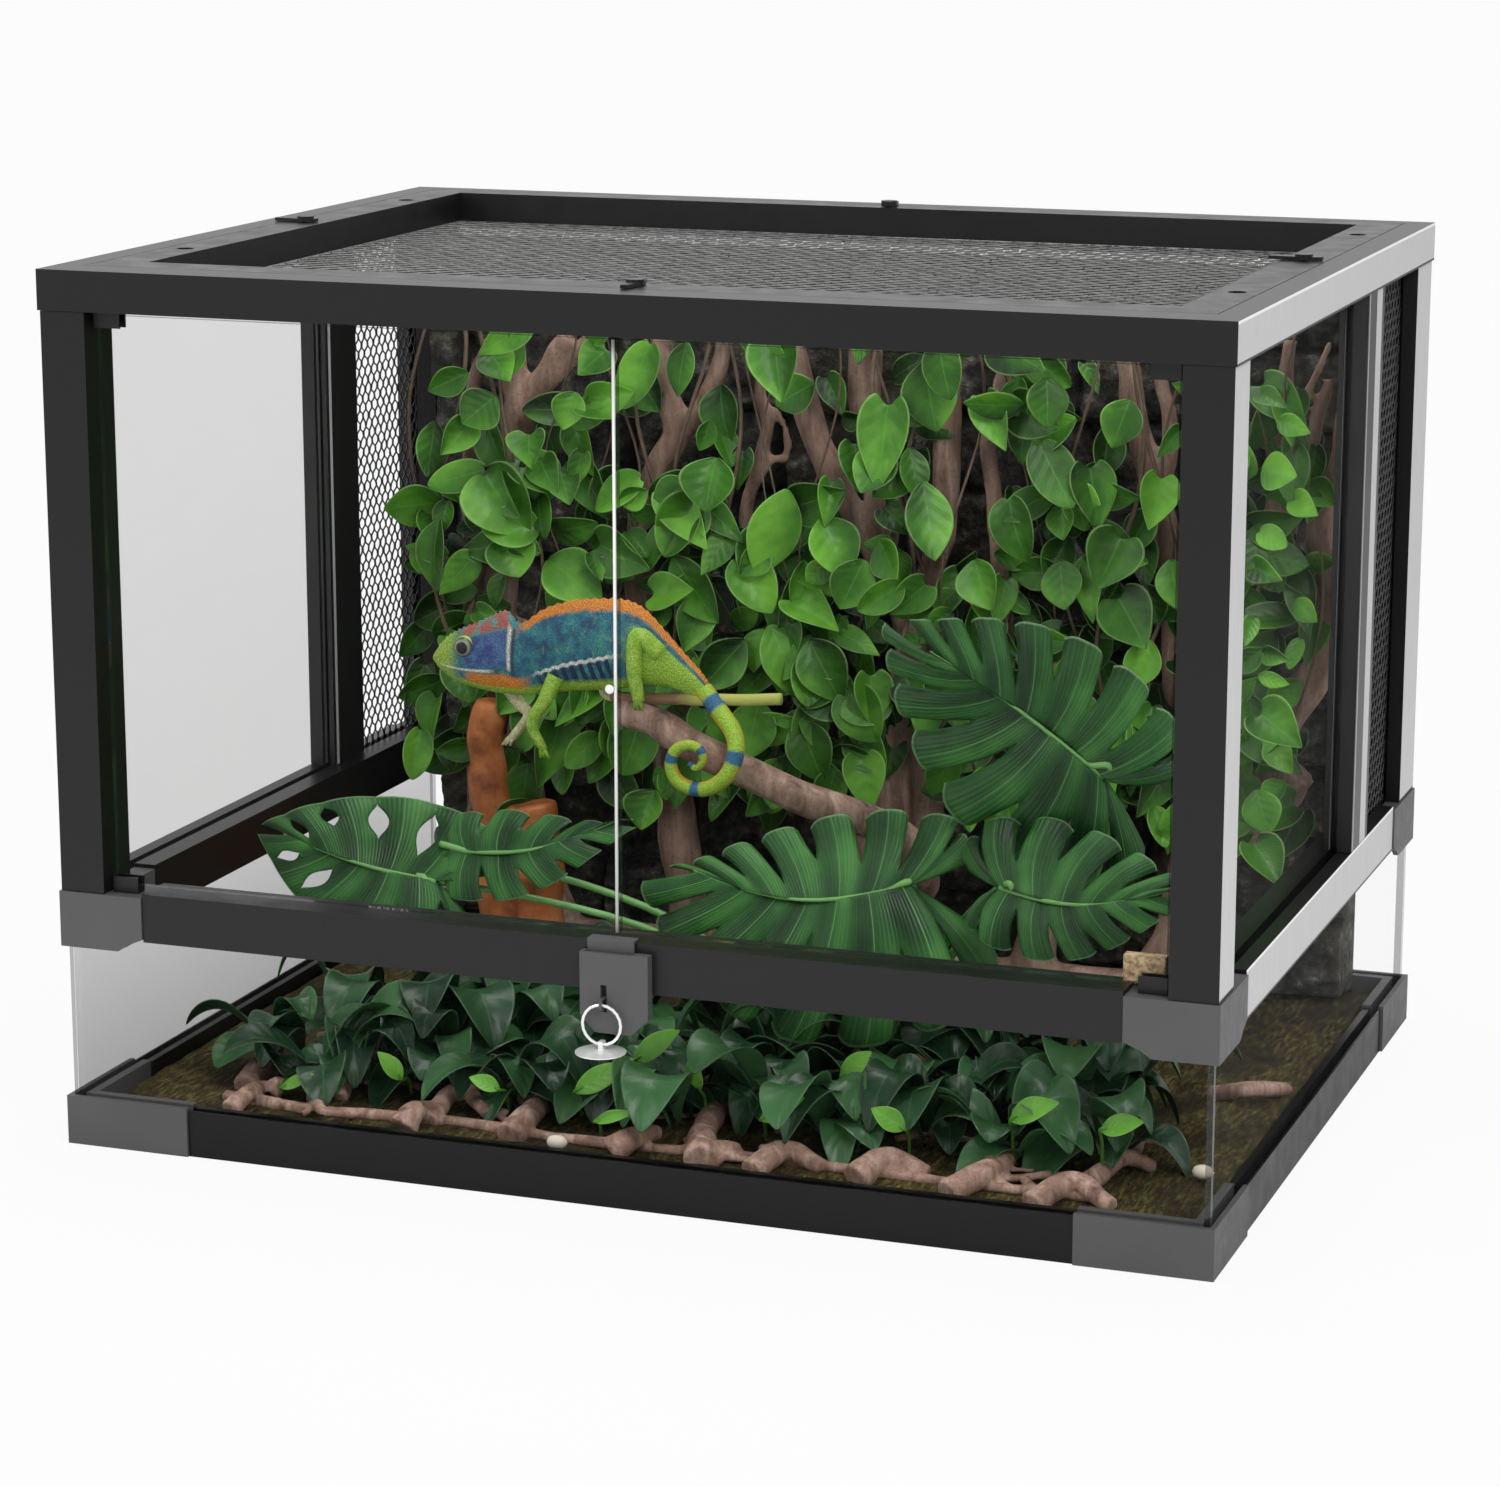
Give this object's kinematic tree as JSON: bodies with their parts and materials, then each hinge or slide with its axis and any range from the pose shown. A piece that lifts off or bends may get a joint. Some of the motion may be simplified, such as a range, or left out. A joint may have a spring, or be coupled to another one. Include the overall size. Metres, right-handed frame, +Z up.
{
  "type": "glass reptile terrarium",
  "caption": "Front-opening glass terrarium with double doors, side vents, a lift-off mesh lid, a planted interior and a lock with a pull ring.",
  "frame": {"origin": "middle of the part's outline in plan, on the surface it stands on", "axes": "+X to the right seen from the doors, +Y from the doors to the back, +Z up"},
  "size_m": [0.6, 0.4766, 0.4507],
  "materials": {
    "frame": "matt black powder coat",
    "connector": "matt dark grey moulding",
    "glass": "clear float glass",
    "silver": "satin",
    "mesh": "dark coated wire",
    "white": "white",
    "bright": "bright",
    "rock": "moulded dark stone",
    "moss": "olive moss mat",
    "wood": "weathered brown",
    "root": "pinkish brown",
    "leaf": "bright green leaves",
    "split_leaf": "deep green leaves with pale ribs",
    "floor_leaf": "dark green leaves",
    "cork": "bare cork",
    "lizard": "painted green, blue and orange"
  },
  "bodies": {
    "tank": {"base_rail_front": "frame", "base_rail_back": "frame", "base_rail_left": "frame", "base_rail_right": "frame", "mid_rail_front": "frame", "mid_rail_back": "frame", "mid_rail_left": "frame", "mid_rail_right": "frame", "post_front_left": "frame", "post_front_right": "frame", "post_back_left": "frame", "post_back_right": "frame", "top_frame": "frame", "base_corner_front_left": "connector", "base_corner_front_right": "connector", "base_corner_back_left": "connector", "base_corner_back_right": "connector", "mid_corner_front_left": "connector", "mid_corner_front_right": "connector", "mid_corner_back_left": "connector", "mid_corner_back_right": "connector", "lock_cover": "connector", "base_glass": "glass", "lower_glass_front": "glass", "lower_glass_back": "glass", "lower_glass_left": "glass", "lower_glass_right": "glass", "rear_glass": "glass", "side_glass_left": "glass", "side_glass_right": "glass", "side_mullion_left": "silver", "side_mullion_right": "silver", "side_vent_left": "mesh", "side_vent_right": "mesh", "rock_background": "rock", "moss_bed": "moss", "driftwood": "wood", "floor_roots": "root", "climbing_vine": "leaf", "split_leaf_plant": "split_leaf", "floor_plants": "floor_leaf", "cork_block": "cork", "lizard_figure": "lizard"},
    "door_left": {"door_glass_left": "glass", "door_seal_strip": "white", "door_knob": "white", "door_hinge_lower_left": "connector", "door_hinge_upper_left": "connector"},
    "door_right": {"door_glass_right": "glass", "door_hinge_lower_right": "connector", "door_hinge_upper_right": "connector"},
    "catch": {"lock_catch": "connector"},
    "pull": {"pull_ring": "bright", "pull_plate": "bright"},
    "lid": {"lid_frame": "frame", "lid_mesh": "mesh"},
    "clip_left": {"lid_clip_left": "frame"},
    "clip_right": {"lid_clip_right": "frame"},
    "clip_front": {"lid_clip_front": "frame"},
    "clip_back": {"lid_clip_back": "frame"}
  },
  "joints": [
    {"name": "door_left_hinge", "type": "hinge", "parent": "tank", "child": "door_left", "pos_m": [-0.267, -0.20447, 0.28], "axis": [0, 0, 1], "range_deg": [-110, 0]},
    {"name": "door_right_hinge", "type": "hinge", "parent": "tank", "child": "door_right", "pos_m": [0.267, -0.20447, 0.28], "axis": [0, 0, 1], "range_deg": [0, 110]},
    {"name": "catch_slide", "type": "slide", "parent": "tank", "child": "catch", "axis": [0, 0, 1], "range_m": [0, 0.005]},
    {"name": "ring_swing", "type": "hinge", "parent": "catch", "child": "pull", "pos_m": [-0.0016, -0.22432, 0.106], "axis": [1, 0, 0], "range_deg": [-90, 0]},
    {"name": "lid_lift", "type": "slide", "parent": "tank", "child": "lid", "axis": [0, 0, 1], "range_m": [0, 0.12]},
    {"name": "clip_left_turn", "type": "hinge", "parent": "lid", "child": "clip_left", "pos_m": [-0.27375, 0.03157, 0.4474], "axis": [0, 0, 1], "range_deg": [0, 90]},
    {"name": "clip_right_turn", "type": "hinge", "parent": "lid", "child": "clip_right", "pos_m": [0.27375, 0.03257, 0.4474], "axis": [0, 0, 1], "range_deg": [0, 90]},
    {"name": "clip_front_turn", "type": "hinge", "parent": "lid", "child": "clip_front", "pos_m": [0.001, -0.18093, 0.4474], "axis": [0, 0, 1], "range_deg": [0, 90]},
    {"name": "clip_back_turn", "type": "hinge", "parent": "lid", "child": "clip_back", "pos_m": [-0.004, 0.21987, 0.4474], "axis": [0, 0, 1], "range_deg": [0, 90]}
  ]
}
